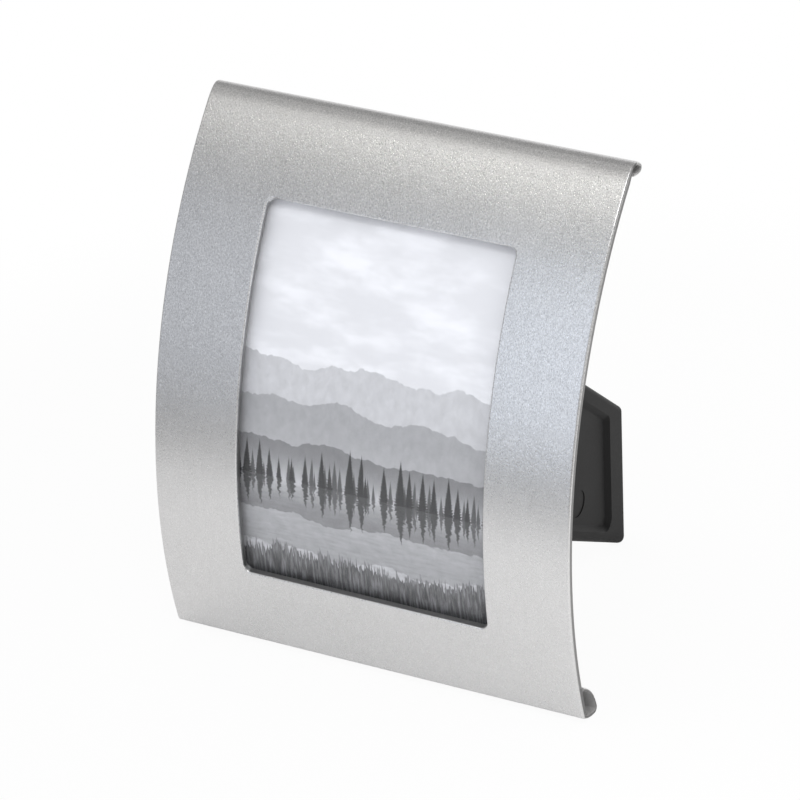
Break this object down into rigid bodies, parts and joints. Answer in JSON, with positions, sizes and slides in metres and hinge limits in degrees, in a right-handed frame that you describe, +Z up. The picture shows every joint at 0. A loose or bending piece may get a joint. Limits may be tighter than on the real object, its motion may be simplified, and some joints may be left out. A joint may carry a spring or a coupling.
{
  "type": "photo frame",
  "caption": "Bowed satin aluminium photo frame with curled edges, a rounded window over a slide-out print, and a black swing-out leg behind.",
  "frame": {"origin": "on the table, under the middle of the whole frame with its leg swung out", "axes": "+X to the right across the frame as seen from the front, +Y backward, +Z up"},
  "size_m": [0.0958, 0.0733, 0.1138],
  "materials": {
    "face_aluminium": "bead-blasted satin, fine bright grain",
    "lens_clear": "clear, polished",
    "print_paper": "semi-gloss black-and-white print",
    "backing_board": "plain grey board",
    "tape": "white foam tape",
    "pad_foam": "soft black foam",
    "carrier_plastic": "moulded, fine matt texture",
    "leg_plastic": "moulded, satin",
    "bright_steel": "bright zinc plate"
  },
  "bodies": {
    "frame": {"face": "face_aluminium", "tape_left": "tape", "tape_right": "tape", "tape_top": "tape", "tape_bottom": "tape", "lens": "lens_clear", "pressure_pad": "pad_foam", "carrier": "carrier_plastic", "rear_cover": "carrier_plastic", "cover_screws": "bright_steel", "hinge_pin": "bright_steel"},
    "leg": {"leg": "leg_plastic"},
    "print_pack": {"photo_print": "print_paper", "backing_card": "backing_board"}
  },
  "joints": [
    {"name": "leg_fold", "type": "hinge", "parent": "frame", "child": "leg", "pos_m": [0.0229, -0.01057, 0.05002], "axis": [0, 0.2662, 0.9639], "range_deg": [0, 90]},
    {"name": "print_slide", "type": "slide", "parent": "frame", "child": "print_pack", "axis": [1, 0, 0], "range_m": [0, 0.07]}
  ]
}
